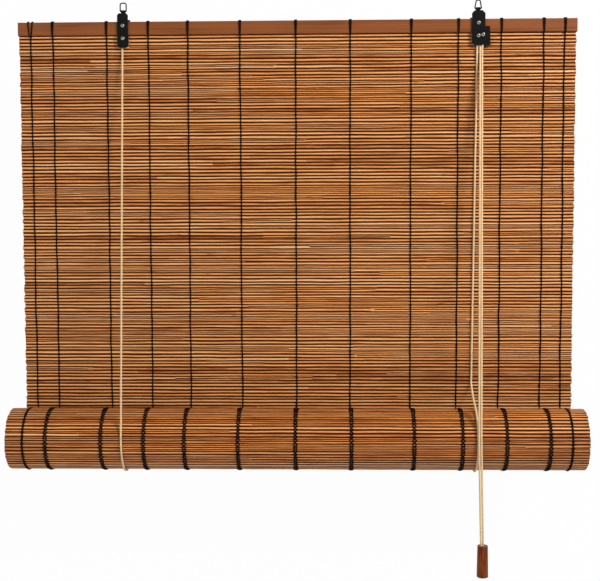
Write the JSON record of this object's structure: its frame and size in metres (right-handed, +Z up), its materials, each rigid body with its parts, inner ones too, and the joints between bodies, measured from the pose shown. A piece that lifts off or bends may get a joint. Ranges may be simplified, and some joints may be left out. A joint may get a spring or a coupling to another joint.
{
  "type": "bamboo roller blind",
  "caption": "Stained reed roller blind on a slat headrail, drawn up by cords under its roll, with ring hangers, pulley blocks, a cord lock and a wooden tassel.",
  "frame": {"origin": "midway between the two hanging rings, at the height where the wall hooks bear inside them", "axes": "+X along the headrail to the right as seen from the room, +Y from the room towards the window, +Z up"},
  "size_m": [0.816, 0.115, 0.8078],
  "materials": {
    "stained_slat": "stained and lacquered slat, satin",
    "reed": "stained split reeds, satin, uneven colour",
    "black_thread": "twisted black warp thread",
    "black_steel": "black stoved paint on steel sheet",
    "bright_wire": "bright plated steel",
    "nylon": "moulded nylon",
    "cotton_cord": "cream twisted cord",
    "tassel_wood": "dark stained turned wood, satin"
  },
  "bodies": {
    "headrail_body": {"headrail": "stained_slat", "reed_mat": "reed", "warp_thread_01": "black_thread", "warp_thread_02": "black_thread", "warp_thread_03": "black_thread", "warp_thread_04": "black_thread", "warp_thread_05": "black_thread", "warp_thread_06": "black_thread", "warp_thread_07": "black_thread", "warp_thread_08": "black_thread", "warp_thread_09": "black_thread", "warp_thread_10": "black_thread", "warp_thread_11": "black_thread", "warp_thread_12": "black_thread", "warp_thread_13": "black_thread", "left_front_plate": "black_steel", "left_back_plate": "black_steel", "left_rivets": "bright_wire", "right_front_plate": "black_steel", "right_back_plate": "black_steel", "right_rivets": "bright_wire", "left_staple": "bright_wire", "right_staple": "bright_wire", "left_rear_leg": "cotton_cord", "right_rear_leg": "cotton_cord", "left_lift_leg": "cotton_cord", "right_lift_leg": "cotton_cord", "cross_cord": "cotton_cord", "right_top_cord": "cotton_cord", "pull_cord_a_upper": "cotton_cord", "pull_cord_b_upper": "cotton_cord"},
    "sling_body": {"left_sling": "cotton_cord", "right_sling": "cotton_cord", "pull_cord_a_lower": "cotton_cord", "pull_cord_b_lower": "cotton_cord"},
    "roll_body": {"rolled_mat": "reed", "bottom_rail": "stained_slat", "roll_thread_01": "black_thread", "roll_thread_02": "black_thread", "roll_thread_03": "black_thread", "roll_thread_04": "black_thread", "roll_thread_05": "black_thread", "roll_thread_06": "black_thread", "roll_thread_07": "black_thread", "roll_thread_08": "black_thread", "roll_thread_09": "black_thread", "roll_thread_10": "black_thread", "roll_thread_11": "black_thread", "roll_thread_12": "black_thread", "roll_thread_13": "black_thread"},
    "tassel_body": {"tassel": "tassel_wood", "pull_knot": "cotton_cord"},
    "left_wheel_body": {"left_wheel": "nylon"},
    "right_front_wheel_body": {"right_front_wheel": "nylon"},
    "right_rear_wheel_body": {"right_rear_wheel": "nylon"},
    "lock_body": {"lock_lever": "black_steel"},
    "left_ring_body": {"left_hanging_ring": "bright_wire"},
    "right_ring_body": {"right_hanging_ring": "bright_wire"}
  },
  "joints": [
    {"name": "roll_lift", "type": "slide", "parent": "headrail_body", "child": "sling_body", "axis": [0, 0, 1], "range_m": [0, 0.45], "deforming": ["reed_mat", "warp_thread_01", "warp_thread_02", "warp_thread_03", "warp_thread_04", "warp_thread_05", "warp_thread_06", "warp_thread_07", "warp_thread_08", "warp_thread_09", "warp_thread_10", "warp_thread_11", "warp_thread_12", "warp_thread_13", "left_lift_leg", "right_lift_leg", "left_rear_leg", "right_rear_leg", "pull_cord_a_upper", "pull_cord_b_upper"]},
    {"name": "roll_spin", "type": "hinge", "parent": "sling_body", "child": "roll_body", "pos_m": [-0.006, -0.043, -0.621], "axis": [1, 0, 0], "continuous": true},
    {"name": "tassel_drop", "type": "slide", "parent": "sling_body", "child": "tassel_body", "axis": [0, 0, -1], "range_m": [0, 1.35], "deforming": ["pull_cord_a_lower", "pull_cord_b_lower"]},
    {"name": "left_wheel_spin", "type": "hinge", "parent": "headrail_body", "child": "left_wheel_body", "pos_m": [-0.254, 0.0075, -0.032], "axis": [0, 1, 0], "continuous": true},
    {"name": "right_front_wheel_spin", "type": "hinge", "parent": "headrail_body", "child": "right_front_wheel_body", "pos_m": [0.254, 0.0075, -0.032], "axis": [0, 1, 0], "continuous": true},
    {"name": "right_rear_wheel_spin", "type": "hinge", "parent": "headrail_body", "child": "right_rear_wheel_body", "pos_m": [0.254, 0.0119, -0.032], "axis": [0, 1, 0], "continuous": true},
    {"name": "lock_turn", "type": "hinge", "parent": "headrail_body", "child": "lock_body", "pos_m": [0.2605, -0.00525, -0.0485], "axis": [0, 1, 0], "range_deg": [-25, 0]},
    {"name": "left_ring_swing", "type": "hinge", "parent": "headrail_body", "child": "left_ring_body", "pos_m": [-0.254, 0, -0.0112], "axis": [1, 0, 0], "range_deg": [-85, 85]},
    {"name": "right_ring_swing", "type": "hinge", "parent": "headrail_body", "child": "right_ring_body", "pos_m": [0.254, 0, -0.0112], "axis": [1, 0, 0], "range_deg": [-85, 85]}
  ],
  "couplings": [
    {"joint": "roll_spin", "follows": "roll_lift", "rad_per_m": -23.256},
    {"joint": "tassel_drop", "follows": "roll_lift", "ratio": 3}
  ]
}
